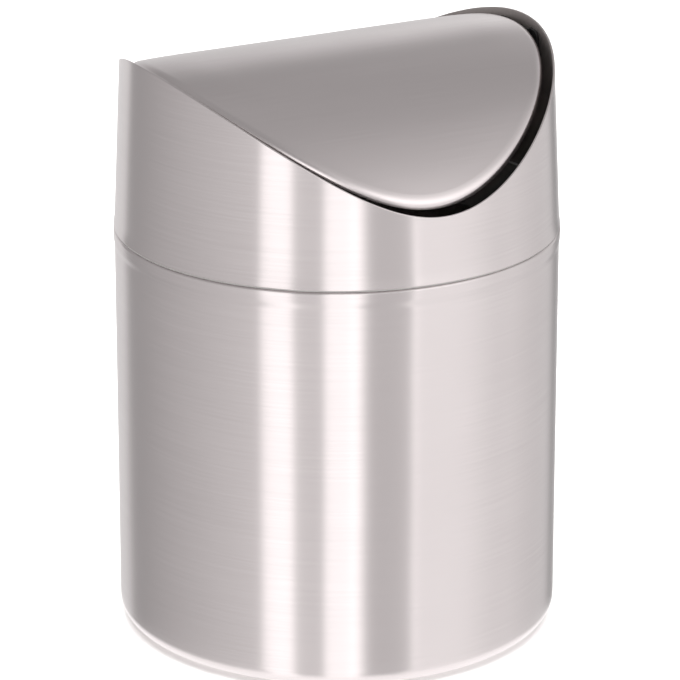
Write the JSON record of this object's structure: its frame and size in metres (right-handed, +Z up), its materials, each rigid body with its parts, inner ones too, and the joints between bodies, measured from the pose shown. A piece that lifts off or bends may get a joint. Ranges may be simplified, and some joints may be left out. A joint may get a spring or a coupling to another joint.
{
  "type": "countertop trash can with swing lid",
  "caption": "Small steel countertop bin: a round can, a conical hood that lifts off it, and an arched flap that swings both ways in the hood and levels itself.",
  "frame": {"origin": "middle of the base on the counter", "axes": "+Z up; X is the line that the flap turns about, from one high tip of the hood's rim to the other; -Y is the front"},
  "size_m": [0.12, 0.12, 0.1618],
  "materials": {
    "can_steel": "brushed round the can",
    "hood_steel": "brushed round the hood",
    "flap_steel": "brushed along the hinge line",
    "plate_steel": "pressed sheet, satin black coat",
    "pin_steel": "turned",
    "clip_steel": "dark spring steel",
    "nylon": "natural nylon",
    "ring_plastic": "moulded, matt grey",
    "pad_rubber": "matt black"
  },
  "bodies": {
    "can": {"can_shell": "can_steel", "base_pad": "pad_rubber"},
    "hood": {"hood_shell": "hood_steel", "seat_ring": "ring_plastic", "hinge_plate_left": "plate_steel", "hinge_plate_right": "plate_steel", "pivot_pin_left": "pin_steel", "pivot_pin_right": "pin_steel", "pin_spacer_left": "nylon", "pin_spacer_right": "nylon", "pin_clip_left": "clip_steel", "pin_clip_right": "clip_steel"},
    "flap": {"flap_panel": "flap_steel", "flap_ear_left": "plate_steel", "flap_ear_right": "plate_steel", "ear_bush_left": "nylon", "ear_bush_right": "nylon"}
  },
  "joints": [
    {"name": "hood_lift", "type": "slide", "parent": "can", "child": "hood", "axis": [0, 0, 1], "range_m": [0, 0.06]},
    {"name": "flap_swing", "type": "hinge", "parent": "hood", "child": "flap", "pos_m": [0, 0, 0.1565], "axis": [1, 0, 0], "range_deg": [-80, 80]}
  ]
}
